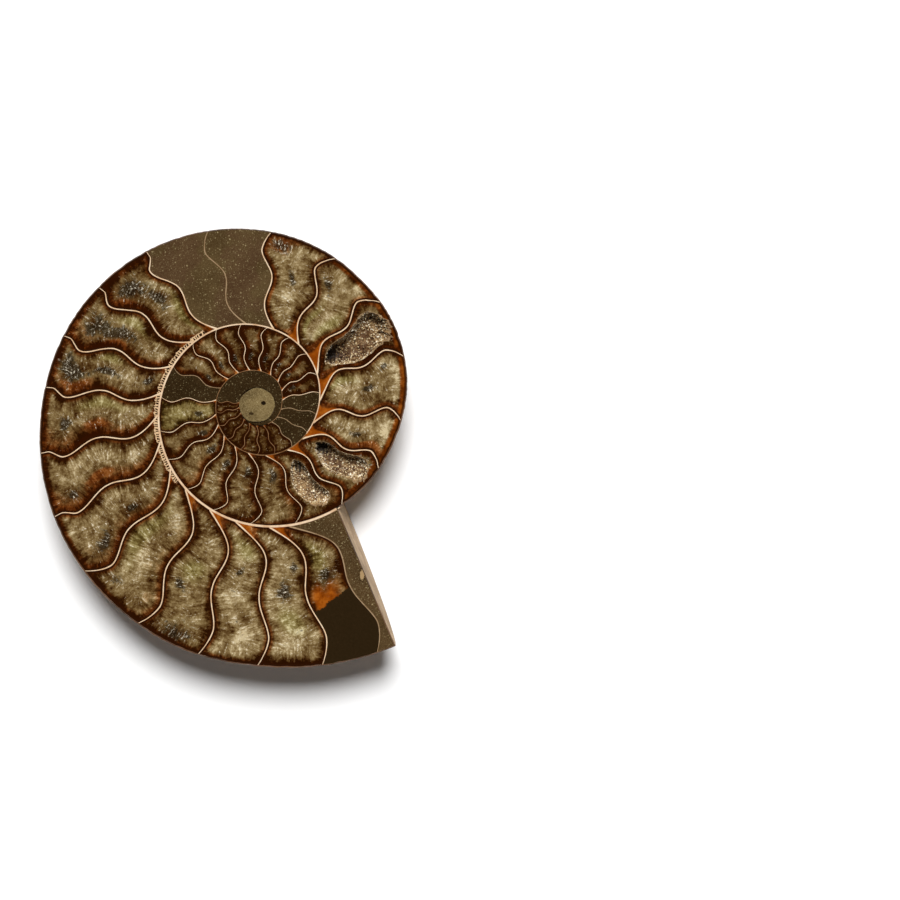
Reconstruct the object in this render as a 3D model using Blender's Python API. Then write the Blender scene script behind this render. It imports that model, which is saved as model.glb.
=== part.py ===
# One half of an ammonite, sawn through the middle and polished, lying with its polished face up.
# Metres, +Z up. The origin is under the middle of the half, on the surface that it lies on.
# The shell is a growing spiral. An angle in degrees runs on from the first whorl to the mouth,
# counter-clockwise seen from above, and every radius and depth follows from that angle.

import math

import bmesh
import bpy
from mathutils import Vector

# Spiral, seen on the polished face
CENTRE = Vector((0.00917, 0.01176))  # the spiral's centre, from the middle of the half
MOUTH_ANGLE = 1020.0
MOUTH_RADIUS = 0.0760  # from the centre to the rim, at the mouth's tip
GROWTH = 2.17  # each turn is this many times as large as the last
SWELLS = (  # angle, and the share by which the rim stands off an even spiral there
    (0, -0.20), (60, -0.085), (150, -0.076), (200, -0.11), (330, -0.095), (430, -0.025),
    (480, -0.008), (530, -0.014), (630, 0.003), (700, 0.005), (733, 0.026), (748, 0.024),
    (775, 0.003), (825, -0.010), (890, 0.001), (940, 0.017), (968, 0.018), (995, 0.0),
    (1020, 0.0),
)

# The whorl in section: shares of the rim's radius, and depths below the polished face
FACE_HEIGHT = 0.0166  # the polished face, above the ground
FLANK_SHARE = 0.375  # depth of a young whorl, as a share of its radius
FLANK_LIMIT = 0.01662  # that depth grows no further than this
FLANK_EVENS_OUT = 8  # how sharply it stops
WIDEST = 0.42
SEAM = 0.27  # where the whorl meets the one before it
FLANK_POWER = 1.7
SHOULDER_POWER = 2.5
RIBS_A_TURN = 20
RIB_HEIGHT = 0.00035
RIB_START = 0.44  # the ribs run between these shares
RIB_STOP = 0.97
RIB_FULL = 0.050  # they are full height where the whorl's radius is at least this
RIB_BEND = 10.0  # degrees that a rib sweeps back at its ends

# The shell is laid out in columns, one every STEP, with a point at each share of the radius
STEP = 4.5
TURN = 80  # columns in one turn
FIRST_ANGLE = 35.0
APEX_DEPTH = 0.0019
LAST_TURN = 665.0
OUTER_SHARES = (1.0, 0.997, 0.985, 0.96, 0.92, 0.86, 0.78, 0.68)
INNER_SHARES = (SEAM * GROWTH, 0.50, 0.42, 0.37, 0.33, 0.295, 0.275)

# The mouth is broken off flat, on a plane that leans out below the polished face
MOUTH_NORMAL = 22.8  # degrees
MOUTH_OFFSET = 0.00937  # from the centre to the plane, at the polished face
MOUTH_LEAN = 0.079
MOUTH_REACH = 35.0  # degrees over which the columns turn into that plane
MOUTH_INNER = 0.0095  # the columns stay straight inside this radius
MOUTH_OUTER = 0.0200
SETTLING_ROUNDS = 6  # times that a point is moved closer to the plane

# Septa, the wavy walls between the chambers, beside the hollows. Each is given by its angles at
# these shares of the way across the whorl: its foot, lobe, waist, crest and end
SEPTUM_SHARES = (0.0, 0.25, 0.50, 0.80, 1.0)
FOOT_POWER = 2.3  # how sharply a septum sweeps back to its foot
SEPTUM_INNER = (640.0, 652.8, 649.6, 653.6, 648.0)
SEPTUM_NOTCH = (664.0, 673.7, 670.4, 675.5, 670.5)
SEPTUM_LOWER = (684.0, 696.8, 693.6, 698.0, 692.5)
SEPTUM_RIGHT = (725.0, 743.3, 740.0, 743.3, 738.5)
SEPTUM_UPPER = (748.0, 763.7, 761.0, 765.8, 760.0)

# Open hollows in the crystal filling: the septa on both sides, the shares across the whorl and
# from the first septum to the second that the hollow fills, its depth, and the share across
# where it is deepest
HOLLOWS = {
    "upper": {
        "septa": (SEPTUM_RIGHT, SEPTUM_UPPER), "across": (0.12, 0.93), "sideways": (0.12, 0.86),
        "depth": 0.0052, "deepest": 0.30,
    },
    "lower": {
        "septa": (SEPTUM_NOTCH, SEPTUM_LOWER), "across": (0.15, 0.91), "sideways": (0.26, 0.87),
        "depth": 0.0040, "deepest": 0.28,
    },
    "inner": {
        "septa": (SEPTUM_INNER, SEPTUM_NOTCH), "across": (0.15, 0.86), "sideways": (0.17, 0.82),
        "depth": 0.0032, "deepest": 0.35,
    },
}
HOLLOW_SIDES = 26
HOLLOW_SQUARENESS = 2.9
HOLLOW_WAVES = ((5, 0.05), (9, 0.03))  # waves around the edge, and how far they stand out
HOLLOW_RINGS = ((1.0, 0.42), (0.88, 0.74), (0.64, 0.93), (0.32, 1.0))  # size, depth
HOLLOW_DIP = 1.02  # depth of the deepest place, as a share of the last ring's
CUT_ABOVE = 0.0010
CRUST_GAP = 0.0004
CRUST_TOP = 0.0004  # the crystals start this far below the polished face
CRUST_WALL = 0.0007
CRUST_STEP = 0.0002
CRYSTAL_HEIGHT = 0.0009
CRYSTAL_HEIGHTS = (0.55, 0.45)  # the middle height, and how far heights differ from it, as shares
CRYSTAL_ORDER = 2.4  # radians from one crystal's height to the next one's
CRYSTAL_AREA = 1.2e-6  # crystals on a face smaller than this are lower

# Colour, roughness
STONE_LOOK = ((0.13, 0.085, 0.04, 1.0), 0.15)
CRYSTAL_LOOK = ((0.42, 0.34, 0.22, 1.0), 0.3)


def between(points, where):
    """The value at a place, read from (place, value) points with an even curve between them."""
    if where <= points[0][0]:
        return points[0][1]
    for (left, low), (right, high) in zip(points, points[1:]):
        if where <= right:
            way = (where - left) / (right - left)
            return low + (high - low) * way * way * (3 - 2 * way)
    return points[-1][1]


def rim(angle):
    even = MOUTH_RADIUS * GROWTH ** ((angle - MOUTH_ANGLE) / 360)
    return even * (1 + between(SWELLS, angle))


def on_face(angle, radius):
    turned = math.radians(angle)
    return CENTRE + Vector((math.cos(turned), math.sin(turned))) * radius


def fullness(angle):
    """How deep the whorl is at its widest, under the polished face."""
    young = FLANK_SHARE * rim(angle)
    return (young ** -FLANK_EVENS_OUT + FLANK_LIMIT ** -FLANK_EVENS_OUT) ** (-1 / FLANK_EVENS_OUT)


def rib(angle, share):
    """Low ribs, strongest on the middle of the flank, swept back towards the rim and the seam."""
    if not RIB_START < share < RIB_STOP:
        return 0.0
    across = (share - RIB_START) / (RIB_STOP - RIB_START)
    bend = RIB_BEND * (2 * across - 1) ** 2
    wave = math.cos(math.radians(RIBS_A_TURN * (angle + bend)))
    return RIB_HEIGHT * min(1.0, rim(angle) / RIB_FULL) * math.sin(math.pi * across) * wave


def depth(angle, share):
    full = fullness(angle)
    if share >= WIDEST:
        out = (share - WIDEST) / (1 - WIDEST)
        return full * math.sqrt(max(0.0, 1 - out ** FLANK_POWER)) + rib(angle, share)
    back = (WIDEST - share) / (WIDEST - SEAM)
    seam = depth(angle - 360, SEAM * GROWTH)
    return seam + (full - seam) * math.sqrt(max(0.0, 1 - back ** SHOULDER_POWER))


def mouth_shift(angle, radius, below):
    """How far a column turns, in degrees, so that the ones at the mouth lie in its plane."""
    for mouth in (LAST_TURN, LAST_TURN + 360):
        away = abs(angle - mouth)
        if away < MOUTH_REACH and radius > MOUTH_INNER:
            offset = MOUTH_OFFSET + MOUTH_LEAN * below
            plane = MOUTH_NORMAL - math.degrees(math.acos(min(1.0, offset / radius)))
            shift = plane - (LAST_TURN - 720)
            fade = math.cos(math.pi / 2 * away / MOUTH_REACH) ** 2
            inner = min(1.0, (radius - MOUTH_INNER) / (MOUTH_OUTER - MOUTH_INNER))
            return shift * fade * inner
    return 0.0


def outside(angle, share):
    """A point of the shell's outside, with the polished face at its height above the ground."""
    turned = angle
    for _ in range(SETTLING_ROUNDS):
        radius = share * rim(turned)
        below = depth(turned, share)
        turned = angle + mouth_shift(angle, radius, below)
    spot = on_face(turned, radius)
    return Vector((spot.x, spot.y, FACE_HEIGHT - below))


def finish_mesh(name, work, collection, material=None):
    bmesh.ops.recalc_face_normals(work, faces=work.faces)
    mesh = bpy.data.meshes.new(name)
    work.to_mesh(mesh)
    work.free()
    made = bpy.data.objects.new(name, mesh)
    collection.objects.link(made)
    if material:
        mesh.materials.append(material)
    return made


def make_half(collection, material):
    """The whole half: a spiral of columns, closed by the polished face, the mouth and the first whorl."""
    work = bmesh.new()
    first_full = round((LAST_TURN - FIRST_ANGLE) / STEP)
    last = first_full + TURN
    columns = []
    for number in range(last + 1):
        angle = FIRST_ANGLE + STEP * number
        shares = OUTER_SHARES + INNER_SHARES if number >= first_full else INNER_SHARES
        column = [work.verts.new(outside(angle, share)) for share in shares]
        if number >= TURN:
            seam = columns[number - TURN][-len(INNER_SHARES) - 1]
        else:
            seam = work.verts.new(outside(angle, SEAM))
        column.append(seam)
        columns.append(column)
    for number in range(last):
        here, there = columns[number], columns[number + 1]
        if number + 1 == first_full:
            there = there[len(OUTER_SHARES):]
        for a, b, c, d in zip(here, here[1:], there[1:], there):
            work.faces.new((a, b, c, d))

    # The first whorl's middle
    middle = work.verts.new((CENTRE.x, CENTRE.y, FACE_HEIGHT - APEX_DEPTH))
    around = columns[0] + [column[-1] for column in columns[1:TURN]]
    for a, b in zip(around, around[1:] + around[:1]):
        work.faces.new((a, b, middle))

    # The polished face, and the mouth's broken wall
    work.faces.new([column[0] for column in columns[first_full:]])
    start, end = columns[first_full], columns[last]
    shared = start.index(end[-1])
    work.faces.new(end + start[:shared][::-1])
    return finish_mesh("ammonite_half", work, collection, material)


def septum_angle(septum, across):
    """The angle of a septum's middle line, at a share of the way across the whorl."""
    foot, lobe = septum[:2]
    back = max(0.0, 1 - across / SEPTUM_SHARES[1]) ** FOOT_POWER
    return between(list(zip(SEPTUM_SHARES[1:], septum[1:])), across) - (lobe - foot) * back


def middle_and_half(ends):
    return (ends[0] + ends[1]) / 2, (ends[1] - ends[0]) / 2


def hollow_ring(hollow, size, gap=0.0):
    """Points around a hollow, which follows its two septa. A gap holds them off its steep wall."""
    middle_across, half_across = middle_and_half(hollow["across"])
    middle_side, half_side = middle_and_half(hollow["sideways"])
    largest = 1 + sum(height for waves, height in HOLLOW_WAVES)
    points = []
    for side in range(HOLLOW_SIDES):
        turned = 2 * math.pi * side / HOLLOW_SIDES
        ragged = 1 + sum(height * math.sin(waves * turned) for waves, height in HOLLOW_WAVES)
        corner = abs(math.cos(turned)) ** HOLLOW_SQUARENESS + abs(math.sin(turned)) ** HOLLOW_SQUARENESS
        reach = size * ragged / largest / corner ** (1 / HOLLOW_SQUARENESS)
        toward_deepest = (hollow["deepest"] - middle_across) * (1 - size)
        across = middle_across + toward_deepest + half_across * reach * math.cos(turned)
        sideways = middle_side + half_side * reach * math.sin(turned)
        low, high = (septum_angle(septum, across) for septum in hollow["septa"])
        angle = low + (high - low) * sideways
        radius = rim(angle - 360) + across * (rim(angle) - rim(angle - 360))
        points.append(on_face(angle, radius))
    if not gap:
        return points
    inset = []
    for before, point, after in zip(points[-1:] + points[:-1], points, points[1:] + points[:1]):
        along = (after - before).normalized()
        inset.append(point + Vector((-along.y, along.x)) * gap * size)
    return inset


def bridge(work, rings):
    """Faces between closed rings of points, one below the other. It returns the faces in rows."""
    rows = []
    for upper, lower in zip(rings, rings[1:]):
        row = []
        for a, b, c, d in zip(upper, upper[1:] + upper[:1], lower[1:] + lower[:1], lower):
            row.append(work.faces.new((a, b, c, d)))
        rows.append(row)
    return rows


def cap(work, ring, height):
    middle = sum((corner.co for corner in ring), Vector()) / len(ring)
    tip = work.verts.new((middle.x, middle.y, height))
    return [work.faces.new((a, b, tip)) for a, b in zip(ring, ring[1:] + ring[:1])]


def ring_at(work, points, height):
    return [work.verts.new((point.x, point.y, height)) for point in points]


def make_hollow_cutter(name, hollow, collection):
    work = bmesh.new()
    rings = [ring_at(work, hollow_ring(hollow, 1.0), FACE_HEIGHT + CUT_ABOVE)]
    for size, deep in HOLLOW_RINGS:
        rings.append(ring_at(work, hollow_ring(hollow, size), FACE_HEIGHT - deep * hollow["depth"]))
    bridge(work, rings)
    cap(work, rings[0], FACE_HEIGHT + CUT_ABOVE)
    cap(work, rings[-1], FACE_HEIGHT - HOLLOW_DIP * hollow["depth"])
    cutter = finish_mesh(name, work, collection)
    cutter.hide_render = True
    cutter.display_type = "WIRE"
    return cutter


def make_crust(name, hollow, collection, material):
    """Crystals grown on a hollow's wall, as one crust: an even wall, with a point on each face."""
    work = bmesh.new()
    top = FACE_HEIGHT - CRUST_TOP
    outer = [ring_at(work, hollow_ring(hollow, 1.0, CRUST_GAP), top)]
    inner = [ring_at(work, hollow_ring(hollow, 1.0, CRUST_GAP + CRUST_WALL), top)]
    for size, deep in HOLLOW_RINGS:
        height = FACE_HEIGHT - deep * hollow["depth"] + CRUST_GAP
        outer.append(ring_at(work, hollow_ring(hollow, size, CRUST_GAP), height))
        points = hollow_ring(hollow, size, CRUST_GAP + CRUST_WALL)
        inner.append(ring_at(work, points, min(height + CRUST_WALL, top - CRUST_STEP)))
    lowest = FACE_HEIGHT - HOLLOW_DIP * hollow["depth"] + CRUST_GAP
    bridge(work, outer)
    cap(work, outer[-1], lowest)
    bridge(work, [outer[0], inner[0]])
    rows = bridge(work, inner)
    floor = cap(work, inner[-1], lowest + CRUST_WALL)
    bmesh.ops.recalc_face_normals(work, faces=work.faces)
    middle_height, difference = CRYSTAL_HEIGHTS
    for number, face in enumerate([face for row in rows[1:] for face in row] + floor):
        height = middle_height + difference * math.sin(CRYSTAL_ORDER * number)
        grown = CRYSTAL_HEIGHT * height * min(1.0, face.calc_area() / CRYSTAL_AREA)
        tip = bmesh.ops.poke(work, faces=[face], offset=0.0)["verts"][0]
        tip.normal_update()
        tip.co += tip.normal * grown
    return finish_mesh(name, work, collection, material)


def make_material(name, look):
    material = bpy.data.materials.new(name)
    material.use_nodes = True
    shader = material.node_tree.nodes["Principled BSDF"]
    colour, roughness = look
    shader.inputs["Base Color"].default_value = colour
    shader.inputs["Roughness"].default_value = roughness
    shader.inputs["Metallic"].default_value = 0.0
    return material


def make_collection(name):
    made = bpy.data.collections.new(name)
    bpy.context.scene.collection.children.link(made)
    return made


def main():
    for old in list(bpy.data.objects):
        bpy.data.objects.remove(old)
    parts = make_collection("Polished ammonite half")
    cutters = make_collection("Cutters")
    stone = make_material("fossil_stone", STONE_LOOK)
    crystal = make_material("crystal_crust", CRYSTAL_LOOK)
    half = make_half(parts, stone)
    for name, hollow in HOLLOWS.items():
        cut = half.modifiers.new(f"{name} hollow", "BOOLEAN")
        cut.operation = "DIFFERENCE"
        cut.solver = "EXACT"
        cut.object = make_hollow_cutter(f"{name}_hollow_cutter", hollow, cutters)
        make_crust(f"{name}_hollow_crystals", hollow, parts, crystal)


main()
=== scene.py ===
import math
import random

import bpy
import numpy as np
from mathutils import Matrix, Vector, noise


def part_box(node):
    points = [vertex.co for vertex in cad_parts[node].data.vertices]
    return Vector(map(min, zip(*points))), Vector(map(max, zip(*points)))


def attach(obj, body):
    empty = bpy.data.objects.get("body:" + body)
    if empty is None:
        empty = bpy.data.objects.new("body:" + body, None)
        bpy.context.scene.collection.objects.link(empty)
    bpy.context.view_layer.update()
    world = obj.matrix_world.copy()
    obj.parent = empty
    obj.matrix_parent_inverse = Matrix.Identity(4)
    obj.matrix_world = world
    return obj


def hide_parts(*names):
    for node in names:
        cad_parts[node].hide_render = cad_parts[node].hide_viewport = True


# One sawn and polished ammonite half, lying with its polished face up. Metres, +Z up.
# Angles run on in degrees along the spiral, counter-clockwise from above, as in the CAD.

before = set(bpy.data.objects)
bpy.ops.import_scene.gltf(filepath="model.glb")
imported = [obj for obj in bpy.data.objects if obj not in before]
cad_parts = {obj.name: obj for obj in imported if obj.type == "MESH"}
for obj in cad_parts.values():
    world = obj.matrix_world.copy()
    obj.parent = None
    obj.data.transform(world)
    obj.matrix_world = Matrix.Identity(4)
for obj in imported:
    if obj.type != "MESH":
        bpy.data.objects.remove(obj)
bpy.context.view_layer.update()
scene = bpy.context.scene
print("frame loaded")

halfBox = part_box("ammonite_half")
faceTop = halfBox[1].z
mm = 0.001

spiral = {
    "centre": (0.00917, 0.01176),
    "mouthAngle": 1020.0,
    "mouthRadius": 0.0760,
    "growth": 2.17,
    "swells": (
        (0, -0.20), (60, -0.085), (150, -0.076), (200, -0.11), (330, -0.095), (430, -0.025),
        (480, -0.008), (530, -0.014), (630, 0.003), (700, 0.005), (733, 0.026), (748, 0.024),
        (775, 0.003), (825, -0.010), (890, 0.001), (940, 0.017), (968, 0.018), (995, 0.0),
        (1020, 0.0),
    ),
    "notch": 668.0,  # where the rim comes out from under the mouth
    "mouthNormal": 22.8,
    "mouthOffset": 0.00937,
    "mouthLean": 0.079,
    "ladder": (846, 944),
}


# Curves and the spiral


def evenCurve(points, where):
    # (place, value) points, level at each point
    places, values = np.array(points, float).T
    where = np.asarray(where, float)
    at = np.clip(np.searchsorted(places, where) - 1, 0, len(places) - 2)
    way = np.clip((where - places[at]) / (places[at + 1] - places[at]), 0, 1)
    return values[at] + (values[at + 1] - values[at]) * way * way * (3 - 2 * way)


def smooth(value, low, high):
    way = np.clip((np.asarray(value, float) - low) / (high - low), 0, 1)
    return way * way * (3 - 2 * way)


def rim(angle):
    angle = np.asarray(angle, float)
    even = spiral["mouthRadius"] * spiral["growth"] ** ((angle - spiral["mouthAngle"]) / 360)
    return even * (1 + evenCurve(spiral["swells"], angle))


raggedAngles = np.arange(600, 1060, 0.2)
raggedDepths = np.array([
    max(0.0, 0.45 + 1.5 * noise.fractal(Vector((turn * 0.45, 3.0, 0.0)), 0.8, 2.0, 4)) for turn in raggedAngles
]) * 0.00012


def roughRim(angle):
    # the outer edge is chipped a little, always inward
    angle = np.asarray(angle, float)
    fade = smooth(angle, 666, 672) * (1 - smooth(angle, 1014, 1018))
    return rim(angle) - np.interp(angle, raggedAngles, raggedDepths) * fade


def onFace(angle, radius):
    turned = np.radians(angle)
    centre = spiral["centre"]
    return centre[0] + radius * np.cos(turned), centre[1] + radius * np.sin(turned)


def mouthAngleAt(radius, below=0.0):
    offset = spiral["mouthOffset"] + spiral["mouthLean"] * below
    return 1080 + spiral["mouthNormal"] - np.degrees(np.arccos(np.clip(offset / radius, -1, 1)))


# Walls: half the thickness of the spiral wall, and of the shell's edge past the notch
wallHalves = (
    (0, 0.00008), (200, 0.00010), (330, 0.00014), (400, 0.00019), (460, 0.00020), (520, 0.00026),
    (600, 0.00031), (655, 0.00034), (672, 0.00032), (1040, 0.00030),
)
blobRadius = 0.0049


def wallHalf(angle):
    return evenCurve(wallHalves, angle)


def innerEdge(angle):
    angle = np.asarray(angle, float)
    return np.maximum(rim(angle - 360) + wallHalf(angle - 360), blobRadius)


def outerEdge(angle):
    return roughRim(angle) - wallHalf(angle)


def radiusAt(angle, across):
    # a share of the way across a whorl, between its walls
    low = innerEdge(angle)
    return low + across * (outerEdge(angle) - low)


# Septa, each as its angles at the foot, the lobe, the waist, the crest and the end. Some end in a hook
outerSepta = (
    (664, 673.7, 670.4, 675.5, 670.5), (684, 696.8, 693.6, 698.0, 692.5), (703, 717.0, 714.0, 718.9, 714.0),
    (725, 743.3, 740.0, 743.3, 738.5), (748, 763.7, 761.0, 765.8, 760.0), (776, 784.0, 781.3, 787.0, 782.0),
    (798, 805.8, 803.3, 808.2, 805.5), (818, 826.4, 823.7, 828.8, 826.0), (838, 845.9, 843.6, 848.7, 845.8, "hook"),
    (855.5, 864.6, 861.4, 866.2, 863.4, "hook"), (875.5, 881.5, 878.4, 883.0, 880.3, "hook"),
    (893, 897.9, 894.6, 897.7, 895.2, "hook"), (906, 914.6, 911.6, 915.0, 912.6, "hook"),
    (921, 931.2, 928.2, 931.0, 928.9, "hook"), (936.5, 946.1, 944.0, 947.8, 944.0),
    (950, 963.4, 960.9, 964.3, 961.5), (966, 979.0, 976.2, 979.0, 976.8), (980, 993.4, 990.6, 992.9, 990.2),
    (996, 1007.2, 1004.5, 1006.7, 1004.2), (1005, 1019.6, 1017.2, 1019.1, 1016.0),
)
secondSepta = (
    (311, 315.0, 310.8, 313.5, 310.0), (329, 333.5, 331.5, 333.5, 331.5), (350, 354.7, 352.4, 353.6, 351.0),
    (371, 375.8, 373.0, 373.4, 371.0), (390, 394.5, 390.5, 392.0, 387.0), (408, 411.8, 408.6, 409.8, 406.0),
    (425.5, 429.3, 426.0, 428.5, 424.5), (443, 447.8, 444.0, 446.7, 442.5), (462, 465.6, 461.6, 464.6, 461.5),
    (480, 482.7, 478.6, 482.0, 478.5), (498, 500.5, 496.4, 500.2, 496.5), (515, 518.7, 514.6, 518.5, 515.5),
    (533, 537.0, 534.2, 538.0, 535.5), (553, 557.6, 554.3, 557.6, 555.0), (567, 574.6, 570.7, 574.2, 571.5),
    (583, 592.6, 590.3, 593.8, 590.5), (602, 610.7, 608.3, 613.0, 607.5), (620, 631.3, 628.6, 632.6, 627.0),
    (640, 652.8, 649.6, 653.6, 648.0),
)
innerSepta = tuple(
    (lobe - 5, lobe, lobe - 3, lobe + 0.5, lobe - 2.5) for lobe in (-150, 176, 192, 211, 232, 252, 273, 292)
)
mouthSide = "mouth"
mouthGap = 0.0003  # the fillings stop this far short of the broken wall


def sideAngle(septum, across, offset=0.0):
    # the angle of a septum at a share of the way across its whorl, or of one of its edges
    across = np.asarray(across, float)
    if septum == mouthSide:
        angle = np.full(across.shape, 1024.0)
        for _ in range(5):
            radius = radiusAt(angle, across)
            angle = mouthAngleAt(radius) - np.degrees(mouthGap / radius)
        return angle
    foot, lobe, waist, crest, end = septum[:5]

    def centreLine(across):
        low = lobe - (lobe - foot) * np.clip(1 - across / 0.25, 0, 1) ** 2.3
        low = low + (waist - lobe) * smooth(across, 0.24, 0.50)
        low = low + (crest - waist) * smooth(across, 0.52, 0.80)
        if len(septum) > 5:
            return low + (end - crest) * smooth(across, 0.81, 0.95)
        return low + (end - crest) * np.clip((across - 0.80) / 0.20, 0, 1) ** 1.5

    angle = centreLine(across)
    if np.any(offset):
        step = 0.01
        slope = np.radians(centreLine(across + step) - centreLine(across - step)) / (2 * step)
        low, high = innerEdge(angle), outerEdge(angle)
        radius = low + across * (high - low)
        lean = np.clip(radius * slope / (high - low), -3.0, 3.0)
        angle = angle + np.degrees(offset * np.sqrt(1 + lean * lean) / radius)
    return angle


def septumHalf(septum, across, half):
    if septum == mouthSide:
        return 0.0
    across = np.asarray(across, float)
    flare = 1 + 0.9 * np.clip(1 - across / 0.10, 0, 1) ** 2
    return half * flare * (1 - 0.45 * smooth(across, 0.82, 1.0))


def chamberEdges(low, high, across, half):
    # the angles where a chamber starts and stops, at the near edges of its two septa
    start = sideAngle(low, across, septumHalf(low, across, half))
    return start, sideAngle(high, across, -septumHalf(high, across, half))


# Modelling helpers


def deselectAll():
    for thing in bpy.context.selected_objects:
        thing.select_set(False)


def pick(thing):
    deselectAll()
    thing.select_set(True)
    bpy.context.view_layer.objects.active = thing


def flatGrid(name, columns, rows):
    deselectAll()
    bpy.ops.mesh.primitive_grid_add(x_subdivisions=columns, y_subdivisions=rows, size=1)
    thing = bpy.context.object
    thing.name = thing.data.name = name
    return thing


def readPoints(thing):
    points = np.empty(len(thing.data.vertices) * 3)
    thing.data.vertices.foreach_get("co", points)
    return points.reshape(-1, 3)


def writePoints(thing, points):
    thing.data.vertices.foreach_set("co", np.ascontiguousarray(points, np.float32).ravel())
    thing.data.update()


slabDepth = 0.0010  # the fillings and walls of the face are this thick


def turnOutwards(thing, merge=0.0):
    # faces point outwards, once points closer than merge are one
    pick(thing)
    bpy.ops.object.mode_set(mode="EDIT")
    bpy.ops.mesh.select_all(action="SELECT")
    if merge:
        bpy.ops.mesh.remove_doubles(threshold=merge)
    bpy.ops.mesh.normals_make_consistent(inside=False)
    bpy.ops.object.mode_set(mode="OBJECT")


def layOnFace(thing, x, y):
    # a flat sheet is laid on the face and gets straight sides and a plain underside
    writePoints(thing, np.stack([x, y, np.full(len(x), faceTop)], 1))
    pick(thing)
    bpy.ops.object.mode_set(mode="EDIT")
    bpy.ops.mesh.select_mode(type="EDGE")
    bpy.ops.mesh.select_all(action="DESELECT")
    bpy.ops.mesh.select_non_manifold()
    bpy.ops.mesh.extrude_region_move(TRANSFORM_OT_translate={"value": (0, 0, -slabDepth)})
    bpy.ops.mesh.edge_face_add()
    bpy.ops.object.mode_set(mode="OBJECT")
    turnOutwards(thing)


def useModifier(thing, kind, **settings):
    pick(thing)
    added = thing.modifiers.new(kind.lower(), kind)
    for key, value in settings.items():
        setattr(added, key, value)
    bpy.ops.object.modifier_apply(modifier=added.name)


def joinAll(name, things):
    deselectAll()
    for thing in things:
        thing.select_set(True)
    bpy.context.view_layer.objects.active = things[0]
    bpy.ops.object.join()
    joined = bpy.context.object
    joined.name = joined.data.name = name
    return joined


def addThing(name, data):
    thing = bpy.data.objects.new(name, data)
    scene.collection.objects.link(thing)
    return thing


def dress(thing, look):
    thing.data.materials.clear()
    thing.data.materials.append(look)


def finishPiece(thing, nodeName="ammonite_half"):
    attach(thing, "root")
    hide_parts(nodeName)


def addField(thing, name, values, kind="FLOAT"):
    field = thing.data.attributes.new(name, kind, "POINT")
    key = "vector" if kind == "FLOAT_VECTOR" else "value"
    field.data.foreach_set(key, np.ascontiguousarray(values, np.float32).ravel())


# Shader helpers: sums written as Python expressions


class Wire:
    def __init__(self, look, socket):
        self.look = look
        self.socket = socket

    def sum(self, operation, *values):
        node = self.look.add("ShaderNodeMath", {"operation": operation}, dict(enumerate(values)))
        return Wire(self.look, node.outputs[0])

    def __add__(self, other):
        return self.sum("ADD", self, other)

    __radd__ = __add__

    def __sub__(self, other):
        return self.sum("SUBTRACT", self, other)

    def __rsub__(self, other):
        return self.sum("SUBTRACT", other, self)

    def __mul__(self, other):
        return self.sum("MULTIPLY", self, other)

    __rmul__ = __mul__

    def __truediv__(self, other):
        return self.sum("DIVIDE", self, other)

    def least(self, other):
        return self.sum("MINIMUM", self, other)

    def most(self, other):
        return self.sum("MAXIMUM", self, other)

    def step(self, low, high, start=0.0, stop=1.0):
        values = {"Value": self, "From Min": low, "From Max": high, "To Min": start, "To Max": stop}
        node = self.look.add("ShaderNodeMapRange", {"interpolation_type": "SMOOTHSTEP"}, values)
        return Wire(self.look, node.outputs["Result"])


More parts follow.
